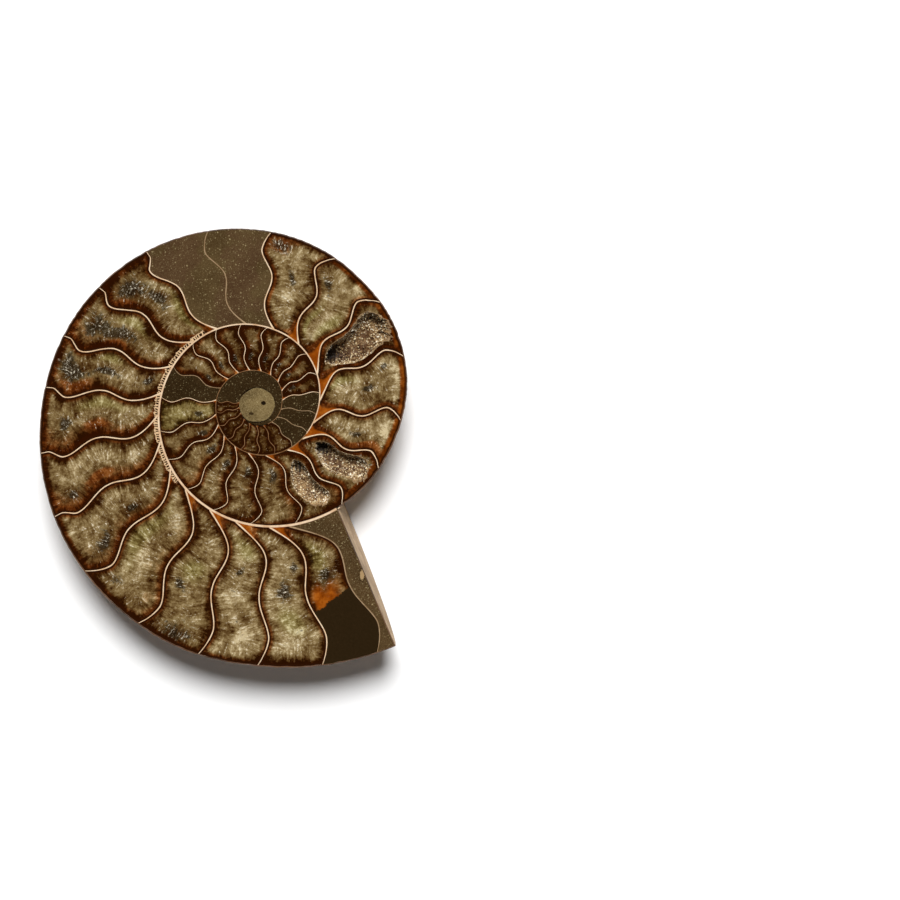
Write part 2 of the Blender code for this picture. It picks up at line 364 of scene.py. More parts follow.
class Look:
    # the nodes of one material, or of the world, and the ways to add to them
    def __init__(self, name, holder=None):
        self.material = holder or bpy.data.materials.new(name)
        self.material.use_nodes = True
        self.tree = self.material.node_tree
        self.shader = self.tree.nodes["Background" if holder else "Principled BSDF"]

    def feed(self, socket, value):
        if isinstance(value, Wire):
            self.tree.links.new(value.socket, socket)
        else:
            socket.default_value = value

    def add(self, kind, settings=None, values=None):
        node = self.tree.nodes.new(kind)
        for key, value in (settings or {}).items():
            setattr(node, key, value)
        for key, value in (values or {}).items():
            self.feed(node.inputs[key], value)
        return node

    def set(self, **values):
        for key, value in values.items():
            self.feed(self.shader.inputs[key.replace("_", " ")], value)

    def place(self):
        # object coordinates in millimetres
        node = self.add("ShaderNodeTexCoord")
        return self.scaled(Wire(self, node.outputs["Object"]), 1000)

    def height(self, vector):
        return Wire(self, self.add("ShaderNodeSeparateXYZ", None, {0: vector}).outputs[2])

    def vector(self, operation, values, output=0):
        node = self.add("ShaderNodeVectorMath", {"operation": operation}, values)
        return Wire(self, node.outputs[output])

    def scaled(self, vector, size):
        return self.vector("SCALE", {0: vector, "Scale": size})

    def joined(self, one, other):
        return self.vector("ADD", {0: one, 1: other})

    def field(self, name, output="Fac"):
        node = self.add("ShaderNodeAttribute", {"attribute_name": name})
        return Wire(self, node.outputs[output])

    def noise(self, vector, size, detail=3.0, rough=0.55, twist=0.0):
        values = {"Vector": vector, "Scale": size, "Detail": detail, "Roughness": rough, "Distortion": twist}
        return Wire(self, self.add("ShaderNodeTexNoise", None, values).outputs[0])

    def swing(self, vector, size, detail, rough):
        # noise that swings around 0
        return (self.noise(vector, size, detail, rough) - 0.5) * 4

    def patchy(self, vector, size, detail, rough, width):
        # noise spread out to run from 0 to 1
        return self.noise(vector, size, detail, rough).step(0.5 - width, 0.5 + width)

    def cells(self, vector, size):
        values = {"Vector": vector, "Scale": size}
        return Wire(self, self.add("ShaderNodeTexVoronoi", None, values).outputs["Distance"])

    def mix(self, amount, first, second):
        values = {0: amount, 6: first, 7: second}
        node = self.add("ShaderNodeMix", {"data_type": "RGBA", "clamp_factor": True}, values)
        return Wire(self, node.outputs[2])

    def ramp(self, amount, stops):
        # stops: a place from 0 to 1, and a colour as seen, from dark to light
        node = self.add("ShaderNodeValToRGB", None, {0: amount})
        band = node.color_ramp
        band.interpolation = "EASE"
        for number, (place, *colour) in enumerate(stops[:1] + stops[-1:]):
            band.elements[number].position = place
            band.elements[number].color = tint(*colour)
        for place, *colour in stops[1:-1]:
            band.elements.new(place).color = tint(*colour)
        return Wire(self, node.outputs[0])

    def bump(self, height, strength, distance):
        values = {"Height": height, "Strength": strength, "Distance": distance * mm}
        return Wire(self, self.add("ShaderNodeBump", None, values).outputs[0])


def tint(red, green, blue, gain=0.80):
    # a colour as seen, 0 to 255, to the share of light that the stone sends back
    def linear(part):
        part = part / 255
        return part / 12.92 if part <= 0.04045 else ((part + 0.055) / 1.055) ** 2.4

    return linear(red) * gain, linear(green) * gain, linear(blue) * gain, 1.0


# Looks


def polished(look, colour):
    look.set(Base_Color=colour, Roughness=0.55, Specular_IOR_Level=0.0)
    look.set(Coat_Weight=1.0, Coat_Roughness=0.04, Coat_IOR=1.5)
    return look.material


def makeCalciteLook():
    look = Look("polished_calcite")
    place = look.place()
    foot = look.field("foot", "Vector")
    hem, deep, brown, amber, pale, out = (
        look.field(name) for name in ("hem", "deep", "brown", "amber", "pale", "out"))

    # crystals stand on the walls, so their patterns are stretched away from the nearest wall
    fibreAt = look.joined(look.scaled(foot, 1.3), look.scaled(place, 0.22))
    cloud = look.swing(place, 0.11, 2, 0.5)
    blotch = look.swing(look.joined(place, (40, 17, 5)), 0.28, 3, 0.55)
    patch = look.swing(place, 0.75, 3, 0.6)
    fleck = look.swing(place, 1.7, 4, 0.85)
    tuft = look.swing(fibreAt, 0.55, 4, 0.65)
    thread = look.swing(fibreAt, 1.3, 4, 0.85)

    border = 1 - (hem + blotch * 0.35 + tuft * 0.18 + cloud * 0.25).step(0.6, 2.5)
    light = 0.61 + tuft * 0.20 + thread * 0.26 + patch * 0.20 + blotch * 0.29 + cloud * 0.18 + fleck * 0.24
    light = light - border * 0.40 - brown * 0.34 + pale * 0.18 + deep * 0.04
    body = look.ramp(light, (
        (0.0, 40, 16, 2), (0.16, 66, 39, 13), (0.32, 88, 63, 31), (0.50, 114, 90, 54),
        (0.68, 140, 117, 77), (0.86, 170, 148, 107), (1.0, 212, 192, 150)))
    oliveTone = look.ramp(light, (
        (0.0, 38, 28, 6), (0.35, 92, 77, 33), (0.65, 142, 128, 74), (1.0, 220, 208, 156)))
    body = look.mix((look.field("olive") + blotch * 0.15).step(0.05, 1.0) * 0.75, body, oliveTone)
    rustTone = look.ramp(light + 0.12, (
        (0.0, 48, 17, 2), (0.35, 92, 42, 10), (0.65, 136, 76, 30), (1.0, 200, 146, 92)))
    reddish = look.field("rust") + border * 0.34 + brown * 0.10 + blotch * 0.24 + patch * 0.10 + cloud * 0.14
    body = look.mix(reddish.step(0.20, 0.85) * 0.9, body, rustTone)

    # see-through places look dark, with a few bright grains: pale crystals, some brightened into painted glints
    hole = deep * 0.30 + look.field("dark") * 0.66 + blotch * 0.22 + patch * 0.18 + tuft * 0.30 + thread * 0.10
    holeTone = look.ramp(0.31 + thread * 0.46 + fleck * 0.18 + patch * 0.1, (
        (0.0, 20, 13, 6), (0.4, 42, 32, 20), (0.7, 84, 70, 52), (1.0, 204, 187, 160)))
    body = look.mix(hole.step(0.42, 0.74) * 0.88, body, holeTone)
    # painted glints: white crystal needles brightened into highlights of caught light, set into the colour
    glint = thread * 0.85 + fleck * 0.55 + pale * 0.14 + hole.least(0.7) * 0.40 - brown * 0.1
    body = look.mix(glint.step(0.48, 0.86) * (1 - border) * 0.9, body, tint(246, 234, 208))

    glow = look.ramp(0.5 + patch * 0.25 + blotch * 0.35, (
        (0.0, 92, 34, 2), (0.4, 140, 66, 8), (0.75, 168, 90, 22), (1.0, 196, 128, 58)))
    body = look.mix((amber + patch * 0.06 + blotch * 0.08).step(0.10, 0.80), body, glow)
    line = 1 - (hem + cloud * 0.12 + tuft * 0.05).step(0.40, 0.72)
    body = look.mix(line * (1 - amber.step(0.3, 0.9)) * 0.95, body, tint(44, 19, 5))

    # a chamber that is only part crystal ends raggedly against its mud
    mud = (look.field("mud") + patch * 0.12 + fleck * 0.05).step(0.46, 0.54)
    body = look.mix(mud, body, look.mix(fleck * 0.5 + 0.5, tint(38, 27, 12), tint(50, 36, 19)))

    # the old wall's ladder of fine struts, along the outer side of the spiral wall
    sway = look.noise(place, 1.1, 2).step(0.3, 0.7)
    phase = look.field("along") * 2.1 + sway * 1.1 + out * 0.5
    rung = phase.sum("PINGPONG", phase, 1.0)
    struts = rung.step(0.50, 0.66).most(out.step(0.66, 0.80) * (sway + 0.2).step(0.3, 0.5))
    inside = (1 - (out + sway * 0.5).step(1.20, 1.32)) * look.field("ladder").step(0.4, 0.6)
    body = look.mix(inside, body, look.mix(struts, tint(46, 22, 6), tint(226, 190, 146)))
    return polished(look, body)


def makeMudLook(name, tones, speck, stain=None, pits=()):
    look = Look(name)
    place = look.place()
    cloud = look.patchy(place, 0.13, 3, 0.6, 0.16)
    grain = look.patchy(place, 2.6, 5, 0.8, 0.16)
    fine = look.patchy(place, 6.5, 3, 0.8, 0.16)
    base = look.mix(cloud, tint(*tones[0]), tint(*tones[1]))
    if stain:
        stained = look.patchy(look.joined(place, (9, 30, 2)), 0.09, 3, 0.6, 0.06)
        base = look.mix(stained * 0.4, base, tint(*stain))
    base = look.mix((grain * 0.5 + fine * 0.5).step(0.55, 0.95) * 0.75, base, tint(*tones[2]))
    base = look.mix((1 - grain * 0.6 - fine * 0.4).step(0.55, 0.95) * 0.7, base, tint(*tones[3]))
    spots = 1 - look.cells(place, 0.85).step(0.07, 0.24)
    small = 1 - look.cells(place, 1.9).step(0.08, 0.34)
    spots = spots * look.patchy(place, 0.7, 2, 0.5, 0.10) + small * look.patchy(place, 1.6, 2, 0.5, 0.10) * 0.8
    base = look.mix(spots * speck, base, tint(190, 172, 126))
    # a pit is painted flat, with no hollow cut: a ring of dark grains round a spot of its given tone, which for a
    # dark pit is painted shade
    for centre, size, shade in pits:
        # how far each point is from a small pit, in the pit's own sizes
        away = look.joined(place, (-centre[0], -centre[1], 0))
        away = look.vector("MULTIPLY", {0: away, 1: (1 / size[0], 1 / size[1], 0)})
        far = look.vector("LENGTH", {0: away}, "Value") + (grain - 0.5) * 0.35
        base = look.mix(1 - far.step(0.95, 1.3), base, tint(*tones[3]))
        base = look.mix(1 - far.step(0.65, 0.95), base, tint(*shade))
    return polished(look, base)


def makeSeptumLook(name, bright, dull, edge):
    look = Look(name)
    place = look.place()
    cloud = look.noise(place, 0.35, 4, 0.65)
    grain = look.noise(place, 2.4, 4, 0.7)
    rib = look.field("rib")
    base = look.mix(cloud.step(0.35, 0.7), tint(*bright), tint(*dull))
    base = look.mix(grain.step(0.5, 0.85) * 0.4, base, tint(*dull))
    base = look.mix((rib + (grain - 0.5) * 0.5).step(0.55, 1.05) * 0.8, base, tint(*edge))
    return polished(look, base)


def makeShellLook():
    look = Look("shell_outside")
    place = look.place()
    # growth lines run along the ribs: fast along the spiral, slow across it
    runs = {0: look.field("growth") * 1.3, 1: look.field("across") * 2.0, 2: 0.0}
    runs = Wire(look, look.add("ShaderNodeCombineXYZ", None, runs).outputs[0])
    lines = look.noise(look.joined(runs, look.scaled(place, 0.04)), 1.0, 4, 0.6)
    cloud = look.noise(place, 0.09, 4, 0.6, 0.5)
    patch = look.noise(place, 0.22, 5, 0.62, 0.8)
    grain = look.noise(place, 1.7, 5, 0.7)
    base = look.ramp(cloud * 0.6 + lines * 0.4, (
        (0.30, 92, 58, 34), (0.45, 140, 98, 62), (0.58, 176, 140, 100), (0.72, 206, 178, 140)))
    # pearly patches of nacre: its own pale colour, with its play of colours painted in as a sheen
    sheen = look.ramp(lines * 0.5 + patch * 0.5, (
        (0.34, 150, 82, 58), (0.44, 186, 138, 84), (0.52, 146, 154, 108), (0.62, 186, 116, 92)))
    pearly = patch.step(0.50, 0.60)
    base = look.mix(pearly * 0.6, base, sheen)
    worn = look.noise(place, 0.35, 5, 0.7).step(0.60, 0.70)
    base = look.mix(worn * 0.7, base, tint(112, 88, 58))
    base = look.mix(grain.step(0.45, 0.85) * 0.35, base, tint(64, 40, 22))
    stain = (look.height(place) + (grain - 0.5) * 1.5).step(faceTop / mm - 1.4, faceTop / mm - 0.5)
    base = look.mix(stain * 0.9, base, look.mix(cloud.step(0.4, 0.6), tint(62, 40, 22), tint(98, 62, 34)))
    look.set(Base_Color=base, Coat_Weight=0.35, Coat_Roughness=0.2)
    look.set(Roughness=look.noise(place, 0.8, 3).step(0.3, 0.7, 0.28, 0.5))
    look.set(Normal=look.bump(lines * 0.5 + grain * 0.35, 0.35, 0.25))
    return look.material


def makeMouthLook():
    look = Look("broken_mouth")
    place = look.place()
    cloud = look.noise(place, 0.16, 4, 0.6)
    grain = look.noise(place, 1.6, 6, 0.75)
    base = look.ramp(cloud * 0.6 + grain * 0.4, (
        (0.30, 118, 92, 62), (0.46, 168, 138, 102), (0.60, 198, 168, 130), (0.75, 222, 198, 166)))
    look.set(Base_Color=base, Roughness=0.7, Normal=look.bump(grain, 0.6, 0.4))
    return look.material


def makeDruseLook():
    look = Look("druse_crystals")
    place = look.place()
    grain = look.swing(place, 1.6, 3, 0.7)
    cloud = look.swing(place, 0.25, 3, 0.6)
    sunk = (faceTop / mm - look.height(place)) / 5.0
    # the crystals are darker the deeper they lie: painted shade down in the hollow
    light = 0.22 + look.field("tone") * 0.86 + grain * 0.16 + cloud * 0.20 - sunk * 0.20
    base = look.ramp(light, (
        (0.0, 30, 15, 5, 1), (0.30, 84, 56, 30, 1), (0.55, 160, 130, 90, 1),
        (0.78, 226, 206, 164, 1), (1.0, 252, 244, 224, 1)))
    # a near-black patch at the hollow's deepest end: painted shade
    base = look.mix(look.field("pitShade"), base, tint(22, 12, 6))
    lip = 1 - (sunk + grain * 0.01).step(0.0, 0.05)
    base = look.mix(lip * 0.5, base, tint(104, 76, 46))
    look.set(Base_Color=base, Roughness=0.5, Specular_IOR_Level=0.25)
    return look.material


calcite = makeCalciteLook()
mudFillings = {  # tones: the two clouds, the light grains and the dark grains
    "top": {
        "name": "polished_mud", "speck": 0.65, "stain": (82, 52, 40),
        "tones": ((92, 73, 45), (76, 58, 33), (120, 101, 70), (58, 43, 23)),
    },
    "dark": {
        "name": "polished_dark_mud", "speck": 0.45,
        "tones": ((54, 39, 20), (46, 32, 15), (84, 66, 40), (34, 23, 10)),
    },
    "mouth": {
        "name": "polished_coarse_mud", "speck": 0.75, "pits": (((37.9, -34.7), (0.75, 1.7), (176, 146, 104)),),
        "tones": ((88, 67, 41), (72, 54, 31), (128, 106, 74), (50, 35, 18)),
    },
    "first": {
        "name": "polished_first_chamber", "speck": 0.6,
        # the first chamber's two dark pits are painted shade, with no hollow cut
        "pits": (((10.9, 12.3), (0.62, 0.5), (30, 22, 12)), ((7.6, 9.4), (0.5, 0.35), (60, 46, 26))),
        "tones": ((130, 110, 72), (94, 76, 46), (178, 160, 114), (50, 36, 18)),
    },
}
muds = {key: makeMudLook(**values) for key, values in mudFillings.items()}
septumLook = makeSeptumLook("polished_septum", (250, 226, 192), (226, 188, 146), (140, 84, 44))
wallLook = makeSeptumLook("polished_spiral_wall", (246, 220, 186), (218, 178, 138), (150, 92, 52))
dullSeptumLook = makeSeptumLook("polished_dull_septum", (178, 150, 116), (146, 118, 84), (84, 56, 30))
thinWallLook = makeSeptumLook("polished_thin_wall", (160, 122, 84), (116, 80, 48), (70, 40, 20))
shellLook = makeShellLook()
mouthLook = makeMouthLook()
druseLook = makeDruseLook()
print("looks made")

# Hollows, shaped as in the CAD
hollowShape = {
    "squareness": 2.9, "waves": ((5, 0.05), (9, 0.03)), "shares": (0.0, 0.25, 0.50, 0.80, 1.0), "foot": 2.3,
    "rings": ((1.0, 0.42), (0.88, 0.74), (0.64, 0.93), (0.32, 1.0)), "floor": 1.02,
    "rounding": (-0.20, -0.10, 0.0, 0.10, 0.20), "chips": ((23, 0.018), (37, 0.012)), "wider": 1.035,
    "lip": 1.05,  # the crystal lining shows as a thin lip around each hollow
    "crust": 0.0004, "fillingRoom": 0.002, "bodyRoom": 0.0008,  # the crust's back, and the room left below it
}
hollows = {
    "upper": {
        "septa": (outerSepta[3], outerSepta[4]), "across": (0.12, 0.93), "sideways": (0.12, 0.86),
        "depth": 0.0052, "deepest": 0.30, "crystals": 5600, "pitShade": (0.0288, 0.0258, 0.0012, 0.0034),
    },
    "lower": {
        "septa": (outerSepta[0], outerSepta[1]), "across": (0.15, 0.91), "sideways": (0.26, 0.87),
        "depth": 0.0040, "deepest": 0.28, "crystals": 3600, "pitShade": (0.0268, 0.0004, 0.0010, 0.0028),
    },
    "inner": {
        "septa": (secondSepta[18], outerSepta[0]), "across": (0.15, 0.86), "sideways": (0.17, 0.82),
        "depth": 0.0032, "deepest": 0.35, "crystals": 2600, "pitShade": (0.0205, -0.0052, 0.0004, 0.0018),
    },
}


def hollowPoint(hollow, turned, size):
    # the CAD's outline with its corners rounded and its edge chipped
    size = size * (hollowShape["wider"] + sum(high * np.sin(count * turned) for count, high in hollowShape["chips"]))
    spots = [outlinePoint(hollow, turned + shift, size) for shift in hollowShape["rounding"]]
    return np.mean([spot[0] for spot in spots], 0), np.mean([spot[1] for spot in spots], 0)


def outlinePoint(hollow, turned, size):
    # turned in radians around the hollow, size from 0 in its middle to 1 at its edge
    middleAcross, halfAcross = sum(hollow["across"]) / 2, (hollow["across"][1] - hollow["across"][0]) / 2
    middleSide, halfSide = sum(hollow["sideways"]) / 2, (hollow["sideways"][1] - hollow["sideways"][0]) / 2
    waves, square = hollowShape["waves"], hollowShape["squareness"]
    ragged = 1 + sum(high * np.sin(count * turned) for count, high in waves)
    corner = np.abs(np.cos(turned)) ** square + np.abs(np.sin(turned)) ** square
    reach = size * ragged / (1 + sum(high for count, high in waves)) / corner ** (1 / square)
    across = middleAcross + (hollow["deepest"] - middleAcross) * (1 - size) + halfAcross * reach * np.cos(turned)
    sides = []
    for septum in hollow["septa"]:
        back = np.clip(1 - across / 0.25, 0, 1) ** hollowShape["foot"]
        line = list(zip(hollowShape["shares"][1:], septum[1:]))
        sides.append(evenCurve(line, across) - (septum[1] - septum[0]) * back)
    angle = sides[0] + (sides[1] - sides[0]) * (middleSide + halfSide * reach * np.sin(turned))
    radius = rim(angle - 360) + across * (rim(angle) - rim(angle - 360))
    return onFace(angle, radius)


def hollowBowl(name, hollow, profile, sides=120):
    # a closed shape around a hollow, from rows of (size, height) that start and end at its middle
    bowl = flatGrid(name, sides, len(profile) - 1)
    points = readPoints(bowl)
    turned = (points[:, 0] + 0.5) * 2 * np.pi
    row = (points[:, 1] + 0.5) * (len(profile) - 1)
    sizes, heights = np.array(profile).T
    size = np.interp(row, np.arange(len(profile)), sizes)
    x, y = hollowPoint(hollow, turned, size)
    writePoints(bowl, np.stack([x, y, np.interp(row, np.arange(len(profile)), heights)], 1))
    turnOutwards(bowl, 0.000002)
    return bowl


def ringRows(hollow, size, extra):
    # rows of (size, height) from a hollow's edge down, size a share of its outline and extra a depth below it
    rows = [(size * ring, faceTop - deep * hollow["depth"] - extra) for ring, deep in hollowShape["rings"]]
    return rows + [(0.0, faceTop - hollowShape["floor"] * hollow["depth"] - extra)]


def cutHollow(thing, hollow, size, extra):
    profile = [(0.0, faceTop + 0.001), (size, faceTop + 0.001)] + ringRows(hollow, size, extra)
    bowl = hollowBowl("bowl", hollow, profile)
    useModifier(thing, "BOOLEAN", operation="DIFFERENCE", solver="EXACT", object=bowl)
    bpy.data.objects.remove(bowl)


# Chambers


def sideLine(low, high, which, half):
    # the points of one side of a chamber
    share = {"inner": np.zeros(60), "outer": np.ones(60)}.get(which, np.linspace(0, 1, 160))
    start, stop = chamberEdges(low, high, share, half)
    angle = {"low": start, "high": stop}.get(which)
    if angle is None:
        angle = start + np.linspace(0, 1, 60) * (stop - start)
    return np.stack(onFace(angle, radiusAt(angle, share)), 1)


def nearest(points, line):
    # distance to a line of points, and the nearest place on it
    first, last = line[:-1], line[1:]
    along = last - first
    length = np.maximum((along ** 2).sum(1), 1e-18)
    best = np.full(len(points), 1e9)
    foot = np.zeros_like(points)
    for number in range(len(first)):
        offset = points - first[number]
        way = np.clip(offset @ along[number] / length[number], 0, 1)
        spot = first[number] + way[:, None] * along[number]
        far = np.hypot(*(points - spot).T)
        closer = far < best
        best[closer] = far[closer]
        foot[closer] = spot[closer]
    return best, foot


def chamberPlaces(points, low, high, half):
    # where each point is in its chamber: share across the whorl, and share from its low to its high septum
    centre = spiral["centre"]
    radius = np.hypot(points[:, 0] - centre[0], points[:, 1] - centre[1])
    angle = np.degrees(np.arctan2(points[:, 1] - centre[1], points[:, 0] - centre[0]))
    angle = angle + 360 * np.round((low[1] + 5 - angle) / 360)
    across = np.clip((radius - innerEdge(angle)) / (outerEdge(angle) - innerEdge(angle)), 0, 1)
    start, stop = chamberEdges(low, high, across, half)
    return across, (angle - start) / np.maximum(stop - start, 0.1), angle


def paintChamber(thing, low, high, half, chamber):
    # the fields that the crystal look reads: distances in millimetres, and where each tone goes
    points = readPoints(thing)
    flat = points[:, :2]
    across, way, angle = chamberPlaces(flat, low, high, half)
    sides = ("low", "high", "inner", "outer")
    found = [nearest(flat, sideLine(low, high, which, half)) for which in sides]
    order = np.stack([distance for distance, spot in found]) / mm
    far = dict(zip(sides, order))
    foot = np.stack([spot for distance, spot in found])[order.argmin(0), np.arange(len(flat))]
    wall = order.min(0)

    # the amber wedge between a septum's foot and the spiral wall
    wide, tall = chamber.get("wedge", (1.1, 2.0))
    wedge = ((far["low"] / wide) ** 0.6 + (far["inner"] / tall) ** 0.6) ** (1 / 0.6) - 1
    amber = smooth(-wedge, -0.12, 0.32) * chamber.get("glow", 1.0)
    hem = np.where(wedge > 0, np.minimum(wall, wedge * 1.6 + 0.75), 0.75)
    # the chamber's other corners are rounded by the crystals' roots
    corner = (far["high"] ** 0.7 + far["inner"] ** 0.7) ** (1 / 0.7) - 1
    hem = np.minimum(hem, np.maximum(corner, 0) * 1.4 + 0.05) * chamber.get("fine", 1.0)

    atRim = smooth(chamber.get("rim", 0.8) - far["outer"], -0.3, 1.0) if low[1] > spiral["notch"] - 3 else 0 * wall
    rust = smooth(chamber.get("rustLow", 1.4) - far["low"], 0, 1.6) * 0.55
    rust = np.maximum(rust, smooth(chamber.get("rustHigh", 1.0) - far["high"], 0, 1.4) * 0.6)
    rust = np.maximum(rust, atRim * chamber.get("rimRust", 0.2))
    shade = chamber.get("shade", 0.0) * smooth(way, 0.42, 0.85)
    fields = {key: 0 * wall for key in ("dark", "pale", "mud")}
    fields["olive"] = 0 * wall + chamber.get("oliveAll", 0.0)
    fields["brown"] = np.maximum(chamber.get("brown", 0.2) + shade, atRim * 0.95)
    fields["rust"] = np.maximum(np.maximum(rust, shade * 0.6), smooth(-wedge, -0.9, 0.0) * 0.8)
    fields["deep"] = np.clip(wall / ((far["low"] + far["high"]) / 2), 0, 1)
    amber = np.maximum(amber, atRim * chamber.get("rimAmber", 0.0))
    if "mudFrom" in chamber:
        # the crystal ends at a wavy edge, amber and dark along it
        start, slope = chamber["mudFrom"]
        edge = start + slope * way
        fields["mud"] = np.clip((across - edge) / 0.12 + 0.5, 0, 1)
        near = across - edge + 0.025 * np.sin(way * 9) + 0.015 * np.sin(way * 23 + 1)
        along = smooth(way, 0.02, 0.2) * (0.8 - 0.6 * smooth(way, 0.5, 0.9))
        amber = np.maximum(amber, smooth(near, -0.22, -0.04) * along)
        fields["dark"] = np.maximum(fields["dark"], smooth(near, -0.28, -0.16) * smooth(-near, 0.05, 0.14) * 0.4)
        fields["brown"] = np.maximum(fields["brown"], smooth(near, -0.26, -0.18) * 0.8)
    for kind, spotAcross, spotWay, wideAcross, wideWay in chamber.get("spots", ()):
        away = ((across - spotAcross) / wideAcross) ** 2 + ((way - spotWay) / wideWay) ** 2
        fields[kind] = np.maximum(fields[kind], np.exp(-away * 1.2))
    start, stop = spiral["ladder"]
    fields["ladder"] = smooth(angle, start - 4, start + 4) * (1 - smooth(angle, stop - 4, stop + 4))
    fields["along"] = np.radians(angle - 720) * rim(angle - 360) / mm
    fields.update({"hem": hem, "amber": amber, "out": far["inner"]})
    for key, values in fields.items():
        addField(thing, key, values)
    addField(thing, "foot", np.column_stack([foot / mm, points[:, 2] / mm]), "FLOAT_VECTOR")


def makeChamber(name, low, high, chamber, whorl):
    # a flat filling that reaches from one septum to the next and from wall to wall
    slab = flatGrid(name, *whorl["grid"])
    points = readPoints(slab)
    across, way = points[:, 0] + 0.5, points[:, 1] + 0.5
    start, stop = chamberEdges(low, high, across, whorl["half"])
    angle = start + way * (stop - start)
    layOnFace(slab, *onFace(angle, radiusAt(angle, across)))
    if "hollow" in chamber:
        cutHollow(slab, hollows[chamber["hollow"]], hollowShape["lip"], hollowShape["fillingRoom"])
    if "filling" in chamber:
        dress(slab, muds[chamber["filling"]])
        finishPiece(slab)
    else:
        dress(slab, calcite)
        paintChamber(slab, low, high, whorl["half"], chamber)
        finishPiece(slab)


# Each whorl: its septa and half their thickness, and the septa with mud on both sides, which are dull
whorls = {
    "outer": {
        "septa": outerSepta, "next": mouthSide, "half": 0.000165, "grid": (110, 34), "look": septumLook,
        "dull": (7, 19),
    },
    "second": {
        "septa": secondSepta, "next": outerSepta[0], "half": 0.00009, "grid": (56, 24), "look": septumLook,
        "dull": (0, 1, 2, 11),
    },
    "inner": {
        "septa": innerSepta, "next": secondSepta[0], "half": 0.00008, "grid": (26, 22), "look": thinWallLook,
        "dull": (),
    },
}
